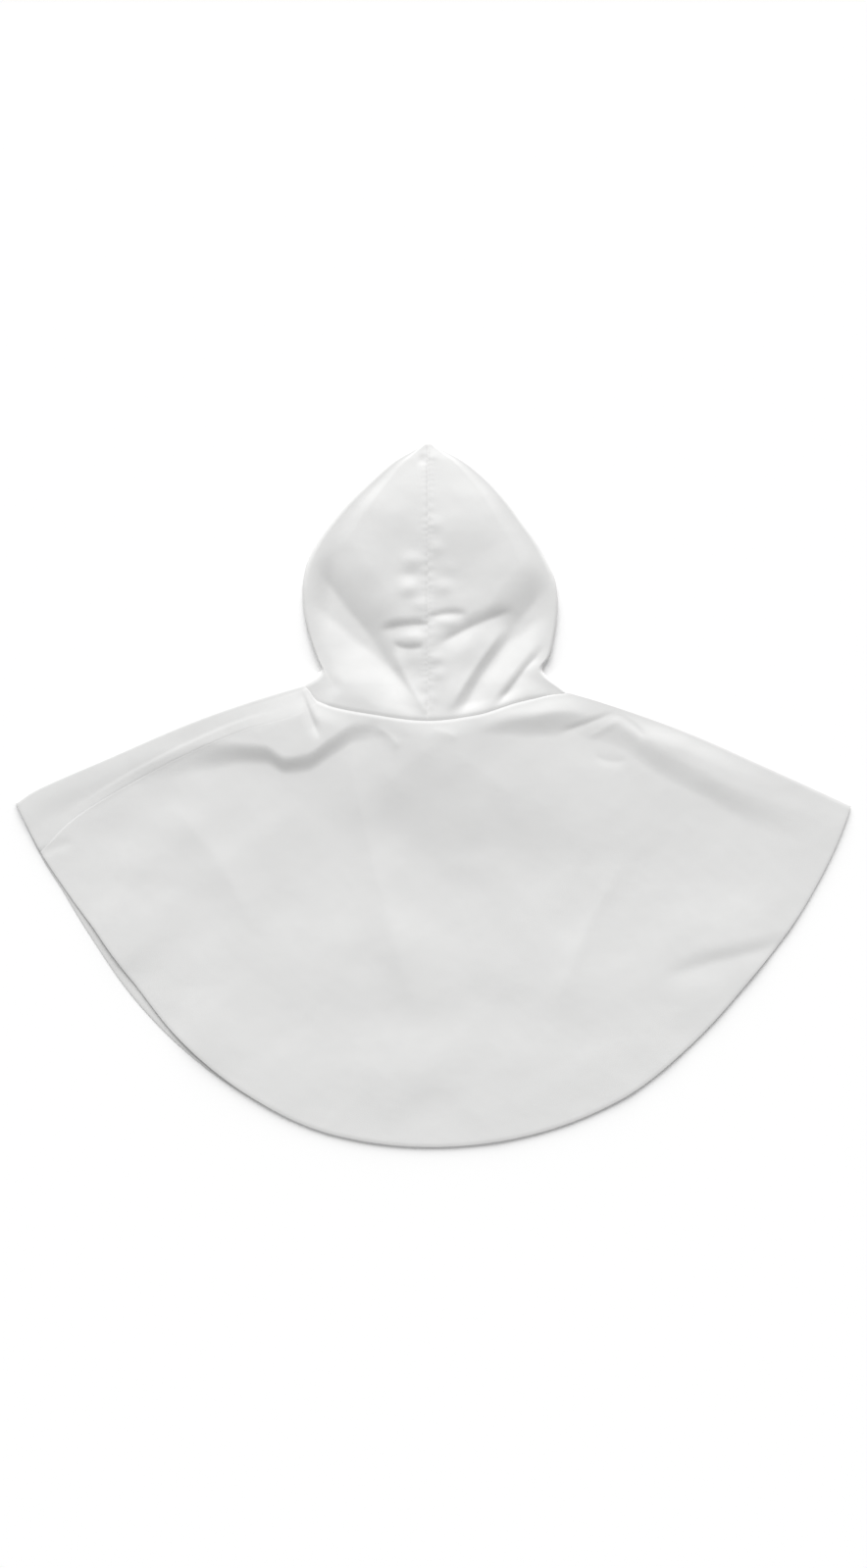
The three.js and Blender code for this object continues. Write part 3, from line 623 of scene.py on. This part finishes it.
def folded_grid(rows, top, under, height, top_stations, under_stations, rim_rise=None):
    """Points of a sheet that lies on itself: over the top to the fold, round it, back beneath."""
    v = rows[:, None]
    edge = top(1.0, rows)
    roll = (height(edge[:, 0], edge[:, 1]) - FLOOR_MIDDLE) / 2
    top_end = 1 - roll / np.linalg.norm(top(0.0, rows) - edge, axis=-1)
    inner = top(top_end, rows)
    p = top(top_stations[None, :] * top_end[:, None], v)
    fold_z = (FLOOR_MIDDLE + 2 * roll)[:, None]
    z = mix(height(p[..., 0], p[..., 1]), fold_z, smooth(FOLD_EASE, 1, top_stations)[None, :])
    upper = np.concatenate([p, z[..., None]], axis=-1)
    turn = np.pi * np.arange(1, ROLL_STEPS) / ROLL_STEPS
    p = inner[:, None, :] + (edge - inner)[:, None, :] * np.sin(turn)[None, :, None]
    z = FLOOR_MIDDLE + roll[:, None] * (1 + np.cos(turn))[None, :]
    rolled = np.concatenate([p, z[..., None]], axis=-1)
    length = np.linalg.norm(under(0.0, rows) - under(1.0, rows), axis=-1)
    start = roll / length
    shift = inner - under(start, rows)
    near = 1 - smooth(0, FOLD_REACH, under_stations[None, :] * length[:, None])
    p = under(mix(start[:, None], 1.0, under_stations[None, :]), v)
    p = p + shift[:, None, :] * near[..., None]
    z = np.full(p.shape[:2], FLOOR_MIDDLE)
    if rim_rise is not None:
        from_rim = (1 - under_stations)[None, :] * length[:, None]
        z = z + rim_rise(p[:, -1, 0])[:, None] * (1 - smooth(0, RIM_RUN, from_rim))
    lower = np.concatenate([p, z[..., None]], axis=-1)
    return np.concatenate([upper, rolled, lower], axis=1)


def cloth_mesh(name, grid, thickness):
    """A closed cloth wall with round rims, through a grid of points at its middle."""
    across = np.gradient(grid, axis=1)
    along = np.gradient(grid, axis=0)
    normal = np.cross(across, along)
    normal /= np.linalg.norm(normal, axis=-1, keepdims=True)
    rows, columns = grid.shape[:2]
    half = thickness / 2
    outer = grid + normal * half
    inner = grid - normal * half
    count = rows * columns
    index = np.arange(count).reshape(rows, columns)
    quad = [index[:-1, :-1], index[:-1, 1:], index[1:, 1:], index[1:, :-1]]
    turned = [quad[0], quad[3], quad[2], quad[1]]
    quads = [np.stack(quad, -1).reshape(-1, 4), np.stack(turned, -1).reshape(-1, 4) + count]
    loop = np.concatenate([index[0, :-1], index[:-1, -1], index[-1, :0:-1], index[:0:-1, 0]])
    middle = grid.reshape(-1, 3)[loop]
    up = normal.reshape(-1, 3)[loop]
    way = np.roll(middle, -1, axis=0) - np.roll(middle, 1, axis=0)
    out = np.cross(way, up)
    out /= np.linalg.norm(out, axis=-1, keepdims=True)
    rings = [loop]
    points = [outer.reshape(-1, 3), inner.reshape(-1, 3)]
    made = 2 * count
    for step in range(1, RIM_STEPS):
        turn = np.pi * step / RIM_STEPS
        points.append(middle + (up * math.cos(turn) + out * math.sin(turn)) * half)
        rings.append(np.arange(len(loop)) + made)
        made += len(loop)
    rings.append(loop + count)
    for ring, after in zip(rings[:-1], rings[1:]):
        quads.append(np.stack([ring, after, np.roll(after, -1), np.roll(ring, -1)], -1))
    vertices = np.concatenate(points) * MM
    faces = np.concatenate(quads)
    a, b, c, d = (vertices[faces[:, i]] for i in range(4))
    volume = (a * np.cross(b, c)).sum() + (a * np.cross(c, d)).sum()
    if volume < 0:
        faces = faces[:, ::-1]
    mesh = bpy.data.meshes.new(name)
    mesh.from_pydata(vertices.tolist(), [], faces.tolist())
    mesh.shade_smooth()
    mesh.update()
    return mesh


def add_piece(name, grid, node):
    """A cloth piece on the root body, shown in place of its solid."""
    mesh = cloth_mesh(name, grid, bpy.context.scene.cape_cloth.cloth / MM)
    mesh.materials.append(shared_cloth())
    piece = bpy.data.objects.new(name, mesh)
    bpy.context.scene.collection.objects.link(piece)
    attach(piece, ROOT_BODY)
    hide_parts(node)
    return piece


def row_points(rows):
    return [(row["x"], row["y"]) for row in rows]


def shoulder_curve(corner_x, shoulder):
    """The body's top line on one side, from the neck's corner to the tip."""
    corner = neck_point(BACK_NECK, corner_x, -SEAM_GAP / 2)
    return plan_curve([corner] + row_points(shoulder[1:]))


def front_neck_y(row):
    """Place of the front neck's edge, which dips below the back neck's between the corners."""
    out = (row["x"] - NECK_CENTRE_X) / (LEFT_CORNER_X - NECK_CENTRE_X)
    return row["y"] - FRONT_NECK_DROP * max(0.0, 1 - out ** 2)


LEFT_FOLD = shoulder_curve(LEFT_CORNER_X, LEFT_SHOULDER)
RIGHT_EDGE = shoulder_curve(RIGHT_CORNER_X, RIGHT_SHOULDER)
SEAM_END = hem_point(SEAM_HEM_ANGLE, "upper")
SHOULDER_SEAM_CURVE = plan_curve(row_points(SHOULDER_SEAM) + [tuple(SEAM_END)])
FRONT_NECK = [{"x": row["x"], "y": front_neck_y(row)} for row in BACK_NECK]


def front_panel_grid():
    seam = beside_curve(SHOULDER_SEAM_CURVE, -SEAM_GAP / 2)
    flap_neck = neck_curve(BACK_NECK, seam(0.0)[0], LEFT_CORNER_X, -SEAM_GAP / 2)
    flap_hem = hem_curve("upper", SEAM_HEM_ANGLE - SEAM_HEM_TURN, HEM[0]["angle"])
    flap = patch_between(flap_neck, flap_hem, seam, LEFT_FOLD)
    front_neck = neck_curve(FRONT_NECK, LEFT_CORNER_X, RIGHT_CORNER_X, -SEAM_GAP / 2)
    front_hem = hem_curve("under", HEM[0]["angle"], HEM[-1]["angle"])
    under = patch_between(front_neck, front_hem, LEFT_FOLD, RIGHT_EDGE)
    rows = stations(BODY_ROWS, NECK_CROWDING, FIRST_STEP)
    return folded_grid(
        rows, flap, under, body_height,
        stations(FLAP_COLUMNS, 1, FIRST_STEP), stations(FRONT_COLUMNS, 1, FIRST_STEP),
        lambda x: np.maximum(table_at(TOP_LINE, "x", x, "z") - LAID_MIDDLE, 0.0),
    )


def back_panel_grid():
    seam = beside_curve(SHOULDER_SEAM_CURVE, SEAM_GAP / 2)
    neck = neck_curve(BACK_NECK, seam(0.0)[0], RIGHT_CORNER_X, -SEAM_GAP / 2)
    hem = hem_curve("upper", SEAM_HEM_ANGLE + SEAM_HEM_TURN, HEM[-1]["angle"])
    panel = patch_between(neck, hem, seam, RIGHT_EDGE)
    across = stations(BACK_COLUMNS, 1, FIRST_STEP)[None, :]
    p = panel(across, stations(BODY_ROWS, NECK_CROWDING, FIRST_STEP)[:, None])
    z = body_height(p[..., 0], p[..., 1])
    return np.concatenate([p, z[..., None]], axis=-1)


def hood_corner_x(side):
    return LEFT_CORNER_X if side == "left" else RIGHT_CORNER_X


def silhouette_curve(side):
    """The hood's outline on one side, from the neck's corner to the peak."""
    corner = neck_point(BACK_NECK, hood_corner_x(side), SEAM_GAP / 2)
    return plan_curve([corner] + [(row[side], row["y"]) for row in HOOD[1:]])


SILHOUETTE = {
    side: silhouette_curve(side)(np.linspace(0, 1, CURVE_SAMPLES)) for side in ("left", "right")
}


def hood_half_grid(side):
    hand = -1 if side == "left" else 1
    corner_x = hood_corner_x(side)
    silhouette = silhouette_curve(side)
    peak = HOOD[-1]
    seam_x = SEAM_LINE_X + hand * SEAM_GAP / 2

    def centre_seam(v):
        v = np.asarray(v, float)
        return np.stack([np.full_like(v, seam_x), mix(NECK_CENTRE_Y, peak["y"], v)], axis=-1)

    back_neck = neck_curve(BACK_NECK, seam_x, corner_x, SEAM_GAP / 2)
    front_neck = neck_curve(FRONT_NECK, corner_x, seam_x, SEAM_GAP / 2)
    low = front_neck(1.0)[1]

    def face_edge(v):
        y = mix(low, peak["y"], np.asarray(v, float))
        return np.stack([SEAM_LINE_X + hand * table_at(FACE_OPENING, "y", y, "out"), y], axis=-1)

    def peak_line(from_x, to_x):
        def line(u):
            u = np.asarray(u, float)
            return np.stack([mix(from_x, to_x, u), np.full_like(u, peak["y"])], axis=-1)

        return line

    top = patch_between(back_neck, peak_line(seam_x, peak[side]), centre_seam, silhouette)
    under = patch_between(front_neck, peak_line(peak[side], seam_x), silhouette, face_edge)
    top_stations = 1 - (1 - stations(HOOD_TOP_COLUMNS, 1, FIRST_STEP)) ** SIDE_CROWDING
    return folded_grid(
        stations(HOOD_ROWS, 1, FIRST_STEP), top, under,
        lambda x, y: hood_height(x, y, side),
        top_stations, stations(HOOD_UNDER_COLUMNS, 1, FIRST_STEP),
    )


class Socket:
    """A shader socket with arithmetic: an expression adds its Math nodes to the tree."""

    def __init__(self, tree, output):
        self.tree = tree
        self.output = output

    def math(self, operation, *values):
        node = self.tree.nodes.new("ShaderNodeMath")
        node.operation = operation
        for place, value in enumerate(values):
            if isinstance(value, Socket):
                self.tree.links.new(value.output, node.inputs[place])
            else:
                node.inputs[place].default_value = value
        return Socket(self.tree, node.outputs[0])

    def __add__(self, other):
        return self.math("ADD", self, other)

    __radd__ = __add__

    def __mul__(self, other):
        return self.math("MULTIPLY", self, other)

    __rmul__ = __mul__


class Shader:
    """A material's node tree, with one way of making any node."""

    def __init__(self, name):
        self.material = bpy.data.materials.new(name)
        self.material.use_nodes = True
        self.tree = self.material.node_tree
        self.tree.nodes.clear()

    def node(self, kind, settings=None, **values):
        made = self.tree.nodes.new(kind)
        for key, value in (settings or {}).items():
            setattr(made, key, value)
        for key, value in values.items():
            socket = made.inputs[key.replace("_", " ")]
            if isinstance(value, Socket):
                self.tree.links.new(value.output, socket)
            else:
                socket.default_value = value
        return made

    def out(self, made, name=0):
        return Socket(self.tree, made.outputs[name])


SATEEN_COLOUR = (0.74, 0.74, 0.735)


def sateen_material(colour):
    """White cotton sateen: a low soft sheen, a fine weave and the faint mottle of pressed cloth."""
    shader = Shader("white_sateen_cloth")
    place = shader.out(shader.node("ShaderNodeTexCoord"), "Object")
    mottle = shader.out(shader.node(
        "ShaderNodeTexNoise", Vector=place, Scale=9.0, Detail=3.0, Roughness=0.55,
    ), "Fac")
    fine = shader.out(shader.node(
        "ShaderNodeTexNoise", Vector=place, Scale=55.0, Detail=2.0,
    ), "Fac")
    light = 0.985 + 0.03 * mottle
    red, green, blue = (light * share for share in colour)
    tint = shader.node("ShaderNodeCombineColor", Red=red, Green=green, Blue=blue)
    weave = shader.out(shader.node(
        "ShaderNodeTexWave", {"wave_type": "BANDS", "bands_direction": "DIAGONAL"},
        Vector=place, Scale=620.0, Distortion=0.6, Detail=1.0,
    ), "Fac")
    height = weave * 0.35 + fine * 2.0 + mottle * 6.0
    bump = shader.out(shader.node(
        "ShaderNodeBump", Strength=0.35, Distance=0.0004, Height=height,
    ), "Normal")
    surface = shader.node(
        "ShaderNodeBsdfPrincipled", Base_Color=shader.out(tint, "Color"),
        Roughness=0.5 + 0.12 * fine, Normal=bump,
        Sheen_Weight=0.12, Sheen_Roughness=0.45, Specular_IOR_Level=0.35,
    )
    shader.node("ShaderNodeOutputMaterial", Surface=shader.out(surface, "BSDF"))
    return shader.material


class CapeSettings(bpy.types.PropertyGroup):
    """Sizes and finishes of the cape that a user would change."""

    cloth: bpy.props.FloatProperty(
        name="Cloth thickness", description="Thickness of the sateen with its turned edges",
        default=CLOTH * MM, min=0.0003, max=0.003, unit="LENGTH",
    )
    colour: bpy.props.FloatVectorProperty(
        name="Cloth colour", description="Base colour of the sateen",
        default=SATEEN_COLOUR, size=3, subtype="COLOR", min=0.0, max=1.0,
    )


class CapeStageSettings(bpy.types.PropertyGroup):
    """Floor and light round the cape."""

    sky: bpy.props.FloatProperty(
        name="Fill light", description="Strength of the light from all round",
        default=0.42, min=0.0, max=5.0,
    )
    window: bpy.props.FloatProperty(
        name="Main light", description="Strength of the soft light beyond the hood",
        default=4.1, min=0.0, max=20.0,
    )
    floor_size: bpy.props.FloatProperty(
        name="Floor size", description="Side of the floor",
        default=40.0, min=2.0, max=100.0, unit="LENGTH",
    )


SHARED = {}


def shared_cloth():
    """The one sateen that every piece wears."""
    if "cloth" not in SHARED:
        SHARED["cloth"] = sateen_material(bpy.context.scene.cape_cloth.colour)
    return SHARED["cloth"]


class CAPE_OT_front_panel(bpy.types.Operator):
    """Front panel: flat beneath, folded over at the left shoulder"""

    bl_idname = "cape.front_panel"
    bl_label = "Front panel"

    def execute(self, context):
        piece = add_piece("front_panel_cloth", front_panel_grid(), "front_panel")
        return {"FINISHED"}


class CAPE_OT_back_panel(bpy.types.Operator):
    """Back panel, raised round the neck and flat towards the hem"""

    bl_idname = "cape.back_panel"
    bl_label = "Back panel"

    def execute(self, context):
        piece = add_piece("back_panel_cloth", back_panel_grid(), "back_panel")
        return {"FINISHED"}


class CAPE_OT_hood(bpy.types.Operator):
    """Both halves of the hood, folded at the sides and open beneath for the face"""

    bl_idname = "cape.hood"
    bl_label = "Hood"

    def execute(self, context):
        for side in ("left", "right"):
            piece = add_piece(f"hood_{side}_cloth", hood_half_grid(side), f"hood_{side}")
        return {"FINISHED"}


def floor_material():
    shader = Shader("floor_white")
    surface = shader.node(
        "ShaderNodeBsdfPrincipled", Base_Color=(0.97, 0.97, 0.97, 1.0), Roughness=0.9,
        Emission_Color=(1.0, 1.0, 1.0, 1.0), Emission_Strength=0.02,
    )
    shader.node("ShaderNodeOutputMaterial", Surface=shader.out(surface, "BSDF"))
    return shader.material


class CAPE_OT_stage(bpy.types.Operator):
    """Pale floor, soft light from beyond the hood and the camera straight above"""

    bl_idname = "cape.stage"
    bl_label = "Stage"

    def execute(self, context):
        scene = context.scene
        settings = scene.cape_stage
        half = settings.floor_size / 2
        corners = [(-half, -half, 0), (half, -half, 0), (half, half, 0), (-half, half, 0)]
        mesh = bpy.data.meshes.new("floor")
        mesh.from_pydata(corners, [], [(0, 1, 2, 3)])
        mesh.materials.append(floor_material())
        floor = bpy.data.objects.new("floor", mesh)
        scene.collection.objects.link(floor)
        world = bpy.data.worlds.new("studio_fill")
        world.use_nodes = True
        background = world.node_tree.nodes["Background"]
        background.inputs["Color"].default_value = (1.0, 1.0, 1.0, 1.0)
        background.inputs["Strength"].default_value = settings.sky
        scene.world = world
        lamp = bpy.data.lights.new("window_light", "SUN")
        lamp.energy = settings.window
        lamp.angle = math.radians(WINDOW_SOFTNESS)
        window = bpy.data.objects.new("window_light", lamp)
        window.rotation_euler = (math.radians(WINDOW_LEAN), 0.0, math.radians(WINDOW_TURN))
        scene.collection.objects.link(window)
        self.add_camera(scene)
        scene.view_settings.view_transform = "Standard"
        return {"FINISHED"}

    def add_camera(self, scene):
        data = bpy.data.cameras.new("camera")
        data.lens = LENS
        data.sensor_width = SENSOR
        high = PHOTO_SIZE[1] * PIXEL * MM
        centre_x = (PHOTO_SIZE[0] / 2 - ORIGIN_PIXEL[0]) * PIXEL * MM
        centre_y = (ORIGIN_PIXEL[1] - PHOTO_SIZE[1] / 2) * PIXEL * MM
        camera = bpy.data.objects.new("camera", data)
        camera.location = (centre_x, centre_y, high * LENS / SENSOR)
        data.clip_end = CLIP_END
        scene.collection.objects.link(camera)
        scene.camera = camera


class CAPE_PT_panel(bpy.types.Panel):
    """Lists the cape's settings and pieces"""

    bl_idname = "CAPE_PT_panel"
    bl_label = "Hooded cape"
    bl_space_type = "VIEW_3D"
    bl_region_type = "UI"
    bl_category = "Cape"

    def draw(self, context):
        layout = self.layout
        for group in (context.scene.cape_cloth, context.scene.cape_stage):
            for name in group.bl_rna.properties.keys():
                if name not in ("rna_type", "name"):
                    layout.prop(group, name)
        for operator in OPERATORS:
            layout.operator(operator.bl_idname)


OPERATORS = (CAPE_OT_stage, CAPE_OT_front_panel, CAPE_OT_back_panel, CAPE_OT_hood)
CLASSES = (CapeSettings, CapeStageSettings) + OPERATORS + (CAPE_PT_panel,)


def register():
    for kind in CLASSES:
        bpy.utils.register_class(kind)
    bpy.types.Scene.cape_cloth = bpy.props.PointerProperty(type=CapeSettings)
    bpy.types.Scene.cape_stage = bpy.props.PointerProperty(type=CapeStageSettings)


def unregister():
    del bpy.types.Scene.cape_stage
    del bpy.types.Scene.cape_cloth
    for kind in reversed(CLASSES):
        bpy.utils.unregister_class(kind)


def main():
    register()
    bpy.ops.cape.stage()
    bpy.ops.cape.front_panel()
    bpy.ops.cape.back_panel()
    bpy.ops.cape.hood()


if __name__ == "__main__":
    main()
